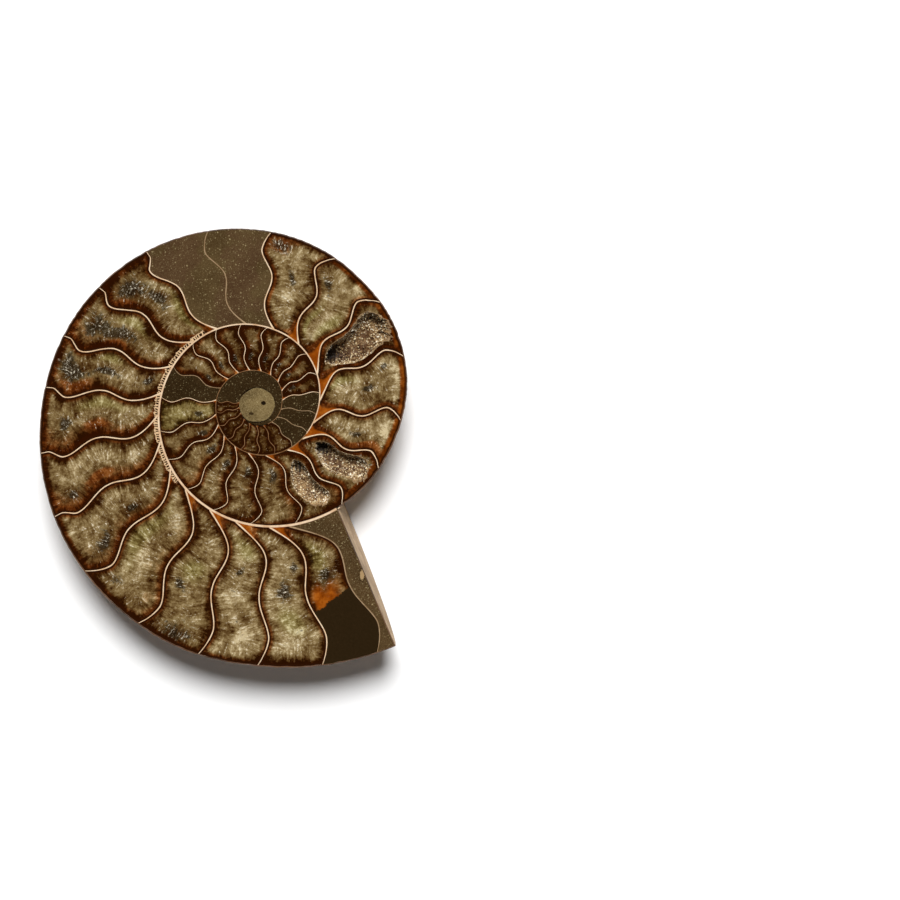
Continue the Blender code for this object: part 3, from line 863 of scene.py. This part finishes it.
# Crystal chambers: wedge, rim and rust are widths in millimetres, and a spot is its kind,
# its place across the whorl and from one septum to the next, and its two widths
outerChambers = (
    {"brown": 0.55, "hollow": "lower", "wedge": (3.0, 6.0), "rim": 2.2, "rimRust": 0.9, "rimAmber": 0.25,
     "rustLow": 2.0, "rustHigh": 1.8,
     "spots": (("pale", 0.5, 0.25, 0.3, 0.2), ("dark", 0.5, 0.85, 0.4, 0.15))},
    {"brown": 0.05, "wedge": (3.4, 7.0), "rim": 1.8, "rimRust": 0.95, "rimAmber": 0.4, "rustLow": 2.2,
     "spots": (("pale", 0.48, 0.32, 0.07, 0.15), ("dark", 0.55, 0.45, 0.08, 0.12), ("pale", 0.25, 0.55, 0.14, 0.14),
               ("pale", 0.88, 0.55, 0.08, 0.15), ("rust", 0.7, 0.15, 0.3, 0.12))},
    {"brown": -0.15, "wedge": (3.4, 7.5), "rim": 1.8, "rimRust": 0.95, "rimAmber": 0.45, "rustLow": 2.2,
     "spots": (("pale", 0.30, 0.5, 0.16, 0.22), ("dark", 0.56, 0.55, 0.07, 0.09), ("dark", 0.75, 0.75, 0.05, 0.08),
               ("pale", 0.9, 0.5, 0.06, 0.3), ("olive", 0.25, 0.75, 0.2, 0.15))},
    {"brown": 0.75, "hollow": "upper", "wedge": (3.2, 7.0), "rim": 1.8, "rimRust": 0.9, "rimAmber": 0.35,
     "rustLow": 1.8, "rustHigh": 1.6},
    {"brown": -0.05, "wedge": (3.8, 8.0), "rim": 1.6, "rimRust": 0.8, "rimAmber": 0.3, "rustLow": 1.2,
     "spots": (("olive", 0.38, 0.28, 0.24, 0.16), ("dark", 0.72, 0.7, 0.1, 0.14), ("pale", 0.9, 0.5, 0.08, 0.3),
               ("pale", 0.5, 0.5, 0.05, 0.1), ("olive", 0.3, 0.75, 0.25, 0.1))},
    {"brown": -0.3, "wedge": (3.0, 6.5), "rim": 0.7, "rustLow": 1.2, "rustHigh": 1.8,
     "spots": (("pale", 0.52, 0.25, 0.1, 0.15), ("pale", 0.36, 0.55, 0.2, 0.15), ("dark", 0.6, 0.58, 0.09, 0.1),
               ("rust", 0.88, 0.72, 0.09, 0.22), ("dark", 0.89, 0.72, 0.10, 0.26), ("pale", 0.15, 0.35, 0.1, 0.2))},
    {"filling": "top"},
    {"filling": "top"},
    {"brown": 0.22, "shade": 0.5, "wedge": (2.0, 3.4), "glow": 0.5, "rim": 3.0, "rustHigh": 2.4,
     "spots": (("olive", 0.3, 0.2, 0.3, 0.15), ("dark", 0.56, 0.45, 0.12, 0.20), ("dark", 0.79, 0.5, 0.15, 0.32),
               ("pale", 0.62, 0.22, 0.1, 0.14), ("rust", 0.72, 0.85, 0.1, 0.15), ("pale", 0.3, 0.65, 0.1, 0.12))},
    {"brown": 0.25, "shade": 0.55, "wedge": (2.0, 3.4), "glow": 0.5, "rim": 2.4, "rustHigh": 2.2,
     "spots": (("dark", 0.8, 0.45, 0.17, 0.32), ("dark", 0.55, 0.62, 0.2, 0.2), ("olive", 0.5, 0.28, 0.2, 0.14),
               ("pale", 0.22, 0.6, 0.12, 0.2), ("rust", 0.55, 0.88, 0.14, 0.12))},
    {"brown": 0.28, "shade": 0.3, "wedge": (2.0, 3.4), "glow": 0.55, "rim": 2.6, "rustHigh": 1.8,
     "spots": (("dark", 0.84, 0.45, 0.16, 0.36), ("dark", 0.52, 0.52, 0.12, 0.1), ("rust", 0.75, 0.78, 0.18, 0.14),
               ("olive", 0.52, 0.22, 0.12, 0.14), ("pale", 0.35, 0.5, 0.14, 0.2), ("dark", 0.13, 0.4, 0.05, 0.2))},
    {"brown": 0.22, "shade": 0.7, "wedge": (1.9, 3.2), "glow": 0.5, "rim": 2.2, "rustHigh": 2.4,
     "spots": (("olive", 0.5, 0.25, 0.25, 0.15), ("dark", 0.8, 0.45, 0.07, 0.16), ("rust", 0.52, 0.72, 0.16, 0.16),
               ("pale", 0.25, 0.5, 0.1, 0.25))},
    {"brown": 0.2, "shade": 0.7, "wedge": (1.9, 3.2), "glow": 0.5, "rim": 1.8, "rustLow": 1.6, "rustHigh": 2.2,
     "spots": (("pale", 0.55, 0.42, 0.28, 0.12), ("rust", 0.55, 0.74, 0.16, 0.13), ("dark", 0.8, 0.7, 0.08, 0.12),
               ("pale", 0.25, 0.45, 0.1, 0.2))},
    {"brown": 0.22, "shade": 0.5, "wedge": (1.9, 3.4), "glow": 0.5, "rim": 1.8, "rustHigh": 1.8,
     "spots": (("pale", 0.62, 0.28, 0.2, 0.12), ("dark", 0.75, 0.7, 0.12, 0.14), ("dark", 0.42, 0.68, 0.08, 0.12),
               ("pale", 0.25, 0.42, 0.08, 0.2))},
    {"brown": 0.15, "shade": 0.35, "wedge": (2.2, 4.4), "glow": 0.6, "rim": 1.6, "oliveAll": 0.1,
     "spots": (("olive", 0.45, 0.25, 0.3, 0.2), ("pale", 0.62, 0.5, 0.2, 0.14), ("dark", 0.86, 0.2, 0.06, 0.15),
               ("pale", 0.25, 0.6, 0.1, 0.2))},
    {"brown": 0.28, "wedge": (2.2, 4.6), "glow": 0.6, "rim": 1.4, "oliveAll": 0.1,
     "spots": (("dark", 0.92, 0.5, 0.07, 0.35), ("dark", 0.58, 0.32, 0.05, 0.14), ("pale", 0.23, 0.6, 0.08, 0.2),
               ("olive", 0.45, 0.5, 0.1, 0.3))},
    {"brown": 0.08, "wedge": (2.4, 5.0), "glow": 0.75, "rim": 1.2,
     "spots": (("pale", 0.85, 0.5, 0.1, 0.25), ("pale", 0.5, 0.5, 0.1, 0.22), ("dark", 0.35, 0.42, 0.035, 0.1),
               ("olive", 0.18, 0.5, 0.1, 0.3), ("pale", 0.68, 0.4, 0.06, 0.1))},
    {"brown": 0.1, "wedge": (2.4, 5.2), "glow": 0.85, "rim": 1.2,
     "spots": (("pale", 0.78, 0.5, 0.12, 0.3), ("olive", 0.68, 0.5, 0.12, 0.3), ("dark", 0.45, 0.55, 0.08, 0.2),
               ("dark", 0.3, 0.72, 0.06, 0.1), ("pale", 0.2, 0.3, 0.06, 0.2))},
    {"brown": 0.2, "wedge": (2.6, 5.6), "glow": 0.95, "rim": 1.0, "mudFrom": (0.63, -0.12),
     "spots": (("olive", 0.25, 0.35, 0.14, 0.3), ("pale", 0.28, 0.55, 0.1, 0.22), ("dark", 0.38, 0.5, 0.05, 0.2))},
    {"filling": "mouth"},
)
secondChamber = {
    "brown": 0.45, "shade": 0.45, "fine": 1.35, "wedge": (0.9, 1.6), "glow": 0.7, "rustLow": 0.9, "rustHigh": 1.2,
    "spots": (("dark", 0.3, 0.6, 0.1, 0.2),),
}
secondOthers = {  # what differs, by the chamber's number from 0
    **{number: {"filling": "dark"} for number in (0, 1, 2, 11)},
    **{number: {"brown": 0.85} for number in range(3, 9)},
    12: {"oliveAll": 0.7, "brown": 0.15, "shade": 0.0, "rustLow": 0.1, "rustHigh": 0.6},
    18: {"hollow": "inner", "wedge": (1.6, 3.2), "brown": 0.6},
}
innerChamber = {"brown": 1.15, "fine": 3.0, "wedge": (0.3, 0.5), "rustLow": 0.8, "rustHigh": 0.9}
chambers = {
    "outer": outerChambers,
    "second": [{**secondChamber, **secondOthers.get(number, {})} for number in range(len(secondSepta))],
    "inner": [{**innerChamber, "filling": "dark"}] + [innerChamber] * (len(innerSepta) - 1),
}
for name, whorl in whorls.items():
    sides = list(whorl["septa"]) + [whorl["next"]]
    for number, chamber in enumerate(chambers[name]):
        makeChamber(f"{name}_chamber_{number + 1:02d}", sides[number], sides[number + 1], chamber, whorl)
print("chambers made", sum(len(row) for row in chambers.values()))

# Septa and the spiral wall


def makeRibbon(name, columns, place, look):
    # place(along, side) gives the edges of the ribbon, side from -1 to 1
    ribbon = flatGrid(name, columns, 4)
    points = readPoints(ribbon)
    along, side = points[:, 0] + 0.5, points[:, 1] * 2
    layOnFace(ribbon, *place(along, side))
    across = np.zeros(len(ribbon.data.vertices))
    across[:len(side)] = np.abs(side)
    addField(ribbon, "rib", across)
    dress(ribbon, look)
    return ribbon


def septumPlace(septum, half):
    def place(along, side):
        angle = sideAngle(septum, along, side * septumHalf(septum, along, half))
        return onFace(angle, radiusAt(angle, along))

    return place


def wallPlace(start, stop):
    def place(along, side):
        angle = start + along * (stop - start)
        return onFace(angle, rim(angle) + side * wallHalf(angle))

    return place


for name, whorl in whorls.items():
    ribbons = []
    for number, septum in enumerate(whorl["septa"]):
        look = dullSeptumLook if number in whorl["dull"] else whorl["look"]
        ribbons.append(makeRibbon(f"septum_{number}", 110, septumPlace(septum, whorl["half"]), look))
    finishPiece(joinAll(f"{name}_septa", ribbons))
finishPiece(makeRibbon("spiral_wall", 700, wallPlace(330, 669), wallLook))
finishPiece(makeRibbon("first_wall", 500, wallPlace(-60, 330), thinWallLook))

# The first chamber's mud, in the middle of the spiral
deselectAll()
bpy.ops.mesh.primitive_circle_add(vertices=96, radius=blobRadius, fill_type="NGON")
blob = bpy.context.object
blob.name = blob.data.name = "first_chamber"
points = readPoints(blob)
around = np.arctan2(points[:, 1], points[:, 0])
points[:, :2] *= (1 + 0.03 * np.sin(2 * around + 1) + 0.02 * np.sin(5 * around) - 0.03)[:, None]
layOnFace(blob, points[:, 0] + spiral["centre"][0], points[:, 1] + spiral["centre"][1])
dress(blob, muds["first"])
finishPiece(blob)
print("septa and walls made")

# The body: outer shell and broken mouth, under the fillings
flank = {
    "share": 0.375, "limit": 0.01662, "evensOut": 8, "widest": 0.42, "seam": 0.27,
    "power": 1.7, "shoulder": 2.5, "ribs": 20, "ribHeight": 0.00035, "ribBend": 10.0,
    "first": 35.0, "lastTurn": 665.0, "mouthReach": 35.0, "mouthInner": 0.0095, "mouthOuter": 0.0200,
    "apexDepth": 0.0019, "chips": (0.93, 1.0), "columns": 360, "nodes": 34, "rows": 14, "wallRough": 0.00022,
    "edge": 0.0003,  # the shell's edge, left standing around the fillings
}


def fullness(angle):
    young = flank["share"] * rim(angle)
    power = flank["evensOut"]
    return (young ** -power + flank["limit"] ** -power) ** (-1 / power)


def ribAt(angle, share):
    across = np.clip((share - 0.44) / 0.53, 0, 1)
    bend = flank["ribBend"] * (2 * across - 1) ** 2
    size = flank["ribHeight"] * np.minimum(1.0, rim(angle) / 0.05) * np.sin(np.pi * across)
    return size * np.cos(np.radians(flank["ribs"] * (angle + bend)))


def flankDepth(angle, share):
    full = fullness(angle)
    out = np.clip((share - flank["widest"]) / (1 - flank["widest"]), 0, 1)
    outer = full * np.sqrt(1 - out ** flank["power"]) + ribAt(angle, share)
    olderShare = flank["seam"] * spiral["growth"]
    olderOut = (olderShare - flank["widest"]) / (1 - flank["widest"])
    seam = fullness(angle - 360) * math.sqrt(1 - olderOut ** flank["power"]) + ribAt(angle - 360, olderShare)
    back = np.clip((flank["widest"] - share) / (flank["widest"] - flank["seam"]), 0, 1)
    inner = seam + (full - seam) * np.sqrt(1 - back ** flank["shoulder"])
    return np.where(share >= flank["widest"], outer, inner)


def mouthShift(angle, radius, below):
    # the last columns turn until the mouth's end lies in its flat, leaning wall
    shift = np.zeros(np.broadcast(angle, radius).shape)
    plane = mouthAngleAt(np.maximum(radius, 0.001), below) - 1080
    inner = np.clip((radius - flank["mouthInner"]) / (flank["mouthOuter"] - flank["mouthInner"]), 0, 1)
    for mouth in (flank["lastTurn"], flank["lastTurn"] + 360):
        away = np.abs(angle - mouth)
        fade = np.cos(np.pi / 2 * np.clip(away / flank["mouthReach"], 0, 1)) ** 2
        near = (away < flank["mouthReach"]) & (radius > flank["mouthInner"])
        shift = np.where(near, (plane - (flank["lastTurn"] - 720)) * fade * inner, shift)
    return shift


def outsidePoints(angle, share):
    turned = angle
    for _ in range(8):
        radius = share * rim(turned) - (rim(turned) - roughRim(turned)) * smooth(share, *flank["chips"])
        below = flankDepth(turned, share)
        turned = angle + mouthShift(angle, radius, below)
    x, y = onFace(turned, radius)
    return np.stack([x, y, faceTop - below], -1), turned


def makeBody():
    # a spiral of columns, as in the CAD, with many more points
    turn, nodes, rows = flank["columns"], flank["nodes"], flank["rows"]
    step = 360 / turn
    way = (1 - np.cos(np.pi * np.linspace(0, 1, nodes))) / 2
    lowShares = 1 / spiral["growth"] + (flank["seam"] - 1 / spiral["growth"]) * way
    highShares = lowShares * spiral["growth"]
    between = np.linspace(highShares[-1], lowShares[0], 8)[1:-1]
    shares = np.concatenate([highShares, between, lowShares])
    seamIndex = nodes - 1
    firstFull = round((flank["lastTurn"] - flank["first"]) / step)
    last = firstFull + turn
    columns, places, growths, acrosses = [], [], [], []
    count = 0
    for number in range(last + 1):
        own = shares if number >= firstFull else shares[seamIndex:]
        if number >= turn:
            own = own[:-1]
        spots, turned = outsidePoints(np.full(len(own), flank["first"] + step * number), own)
        indices = list(range(count, count + len(own)))
        count += len(own)
        places.append(spots)
        growths.append(turned)
        acrosses.append(own)
        if number >= turn:
            indices.append(columns[number - turn][seamIndex if number - turn >= firstFull else 0])
        columns.append(indices)
    faces = []
    for number in range(last):
        here, there = columns[number], columns[number + 1]
        if number + 1 == firstFull:
            there = there[seamIndex:]
        faces.extend((a, d, c, b) for a, b, c, d in zip(here, here[1:], there[1:], there))
    middle = count
    places.append(np.array([[*spiral["centre"], faceTop - flank["apexDepth"]]]))
    count += 1
    around = columns[0] + [column[-1] for column in columns[1:turn]]
    faces.extend((a, b, middle) for a, b in zip(around, around[1:] + around[:1]))

    # the mouth's wall, in rows from the polished face or the older whorl down to the end column
    start, end = columns[firstFull], columns[last]
    places = np.concatenate(places)
    facing = math.radians(spiral["mouthNormal"])
    outward = np.array([math.cos(facing), math.sin(facing), 0.0])
    extra, grid = [], []
    for number, bottom in enumerate(end):
        low = places[bottom]
        top = bottom if number == 0 else None
        if shares[number] <= 1 / spiral["growth"] + 1e-6:
            top = start[number - (len(shares) - nodes)]
        if top == bottom:
            grid.append([bottom] * (rows + 1))
            continue
        if top is None:
            radius = math.hypot(low[0] - spiral["centre"][0], low[1] - spiral["centre"][1])
            high = np.array([*onFace(mouthAngleAt(radius), radius), faceTop])
            top = count + len(extra)
            extra.append(high)
        else:
            high = places[top]
        column = [top]
        for way in np.arange(1, rows) / rows:
            spot = high * (1 - way) + low * way
            rough = noise.fractal(Vector(spot) * 220, 1.0, 2.0, 4) * flank["wallRough"]
            column.append(count + len(extra))
            extra.append(spot + rough * outward)
        grid.append(column + [bottom])
    mouthStart = len(faces)
    for left, right in zip(grid, grid[1:]):
        for row in range(rows):
            corners = dict.fromkeys((left[row], left[row + 1], right[row + 1], right[row]))
            if len(corners) > 2:
                faces.append(tuple(corners))
    topFace = len(faces)
    topLine = [column[0] for column in grid if column[0] >= middle]
    faces.append(tuple([column[0] for column in columns[firstFull:]] + topLine))

    mesh = bpy.data.meshes.new("shell_body")
    mesh.from_pydata(np.concatenate([places, np.array(extra)]).tolist(), [], faces)
    body = addThing("shell_body", mesh)
    plain = np.zeros(1 + len(extra))
    addField(body, "growth", np.concatenate(growths + [plain]))
    addField(body, "across", np.concatenate(acrosses + [plain]))
    mesh.materials.append(shellLook)
    mesh.materials.append(mouthLook)
    for number in range(mouthStart, topFace):
        mesh.polygons[number].material_index = 1
    turnOutwards(body)
    return body, topFace


def recessFace(body, topFace):
    # the polished top is let in, to hold the fillings, with the shell's edge left standing
    pick(body)
    for part in (body.data.polygons, body.data.edges, body.data.vertices):
        part.foreach_set("select", [False] * len(part))
    body.data.polygons[topFace].select = True
    bpy.ops.object.mode_set(mode="EDIT")
    bpy.ops.mesh.select_mode(type="FACE")
    bpy.ops.mesh.inset(thickness=flank["edge"], use_boundary=True, use_even_offset=True)
    bpy.ops.mesh.extrude_region_move(TRANSFORM_OT_translate={"value": (0, 0, -slabDepth)})
    bpy.ops.object.mode_set(mode="OBJECT")


body, topFace = makeBody()
print("body made", len(body.data.vertices))
recessFace(body, topFace)
for hollow in hollows.values():
    cutHollow(body, hollow, hollowShape["lip"] + 0.02, hollowShape["bodyRoom"])
pick(body)
bpy.ops.object.shade_smooth_by_angle(angle=math.radians(40))
finishPiece(body)
print("body cut")

# Crystal linings of the hollows
druse = {
    "places": (0.0, 0.30, 0.52, 0.74, 1.0),  # down a crust, with its size and its depth there
    "sizes": (1.02, 0.95, 0.84, 0.60, 0.0), "depths": (0.0, 0.36, 0.70, 0.90, 1.0),
    "rough": 0.0003, "wide": (0.00013, 0.00026), "tall": (1.2, 2.2), "large": 1.8, "largeShare": 0.08, "lean": 0.35,
}


def makeDruse(name, hollow, node, seed):
    draw = random.Random(seed)
    lip = hollowShape["lip"]
    profile = ringRows(hollow, lip, hollowShape["crust"])[::-1] + [(lip, faceTop)]
    for way in np.linspace(0, 1, 22):
        size, deep = (np.interp(way, druse["places"], druse[key]) for key in ("sizes", "depths"))
        profile.append((size, faceTop - deep * hollow["depth"]))
    bowl = hollowBowl(name, hollow, profile, 150)
    points = readPoints(bowl)
    middle = points[:, :2].mean(0)
    below = (faceTop - points[:, 2]) / mm
    for number, point in enumerate(points):
        # sugary, uneven walls, left alone on their outer side
        rough = noise.fractal(Vector(point) * 900, 0.9, 2.0, 5)
        toward = Vector((middle[0] - point[0], middle[1] - point[1], 0.004)).normalized()
        points[number] = point + np.array(toward) * rough * min(1.0, max(0.0, below[number] * 3)) * druse["rough"]
    points[:, 2] = np.minimum(points[:, 2], faceTop)
    writePoints(bowl, points)
    mesh = bowl.data
    total = np.array([polygon.area for polygon in mesh.polygons])
    chance = np.cumsum(total) / total.sum()
    deselectAll()
    bpy.ops.mesh.primitive_cone_add(vertices=5, radius1=1, radius2=0, depth=1, end_fill_type="NOTHING")
    crystal = bpy.context.object
    cone = readPoints(crystal)
    coneFaces = [tuple(face.vertices) for face in crystal.data.polygons]
    bpy.data.objects.remove(crystal)
    spots, faces, tones = [], [], []
    for _ in range(hollow["crystals"]):
        polygon = mesh.polygons[int(np.searchsorted(chance, draw.random()))]
        toMiddle = Vector((middle[0] - polygon.center.x, middle[1] - polygon.center.y))
        facing = polygon.normal.z > 0.35 or polygon.normal.xy.dot(toMiddle) > 0
        if polygon.center.z > faceTop - 0.0004 or not facing or polygon.normal.z < -0.3:
            continue
        wide = draw.uniform(*druse["wide"]) * (druse["large"] if draw.random() < druse["largeShare"] else 1.0)
        tall = wide * draw.uniform(*druse["tall"])
        up = (polygon.normal + Vector([draw.gauss(0, druse["lean"]) for _ in range(3)])).normalized()
        turn = up.to_track_quat("Z", "Y").to_matrix() @ Matrix.Rotation(draw.uniform(0, 6.3), 3, "Z")
        tone = draw.random()
        start = len(spots)
        for x, y, z in cone:
            spot = polygon.center + turn @ Vector((x * wide, y * wide, (z + 0.5) * tall - wide * 0.5))
            spot.z = min(spot.z, faceTop - 0.00005)
            spots.append(spot)
            tones.append(tone)
        faces.extend([tuple(start + index for index in face) for face in coneFaces])
    crystalMesh = bpy.data.meshes.new("crystals")
    crystalMesh.from_pydata(spots, [], faces)
    crystals = addThing("crystals", crystalMesh)
    addField(crystals, "tone", tones)
    addField(bowl, "tone", [0.35] * len(mesh.vertices))
    lining = joinAll(name, [bowl, crystals])
    points = readPoints(lining)
    # the hollow's deepest end, below its rim, gets a patch of painted shade
    pitX, pitY, solid, reach = hollow["pitShade"]
    away = np.hypot(points[:, 0] - pitX, points[:, 1] - pitY) + 0.0006 * np.sin(points[:, 0] * 6000)
    sunk = smooth((faceTop - points[:, 2]) / mm, 0.2, 1.2)
    addField(lining, "pitShade", 0.92 * (1 - smooth(away, solid, reach)) * sunk)
    dress(lining, druseLook)
    finishPiece(lining, node)


for seed, (name, hollow) in enumerate(hollows.items()):
    makeDruse(f"{name}_hollow_druse", hollow, f"{name}_hollow_crystals", 11 + seed)
print("crystals made")

# Ground, light and camera
deselectAll()
bpy.ops.mesh.primitive_plane_add(size=4, location=(0, 0, 0))
ground = bpy.context.object
ground.name = "ground"
groundLook = Look("pale_ground")
groundLook.set(Base_Color=(0.9, 0.9, 0.9, 1), Roughness=0.9, Specular_IOR_Level=0.1)
dress(ground, groundLook.material)

view = {"pixel": 0.0002733, "spiralAt": (257.0, 405.0), "frame": 900, "distance": 2250, "sensor": 36.0}
camera = addThing("camera", bpy.data.cameras.new("camera"))
camera.location = (
    spiral["centre"][0] + (view["frame"] / 2 - view["spiralAt"][0]) * view["pixel"],
    spiral["centre"][1] + (view["spiralAt"][1] - view["frame"] / 2) * view["pixel"],
    faceTop + view["distance"] * view["pixel"],
)
camera.data.lens = view["sensor"] * view["distance"] / view["frame"]
camera.data.sensor_width = view["sensor"]
camera.data.clip_start = 0.01
scene.camera = camera

lights = {"key": 4.45, "keySpread": 28, "height": 58, "from": 85, "horizon": 1.0, "sky": 0.28}
sun = addThing("key_light", bpy.data.lights.new("key_light", "SUN"))
sun.data.energy = lights["key"]
sun.data.angle = math.radians(lights["keySpread"])
sun.rotation_euler = (math.radians(90 - lights["height"]), 0, math.radians(lights["from"] + 90))
world = bpy.data.worlds.new("studio")
sky = Look("studio", world)
up = sky.height(Wire(sky, sky.add("ShaderNodeTexCoord").outputs["Generated"]))
# bright below, dark overhead, so that the polished face mirrors no light straight up
bright = up.step(0.02, 0.20, lights["horizon"], 0.0) + up.step(0.10, 0.90, lights["sky"], 0.0)
sky.set(Strength=bright, Color=(1, 1, 1, 1))
scene.world = world
scene.view_settings.view_transform = "Standard"
scene.view_settings.look = "None"
print("studio made")
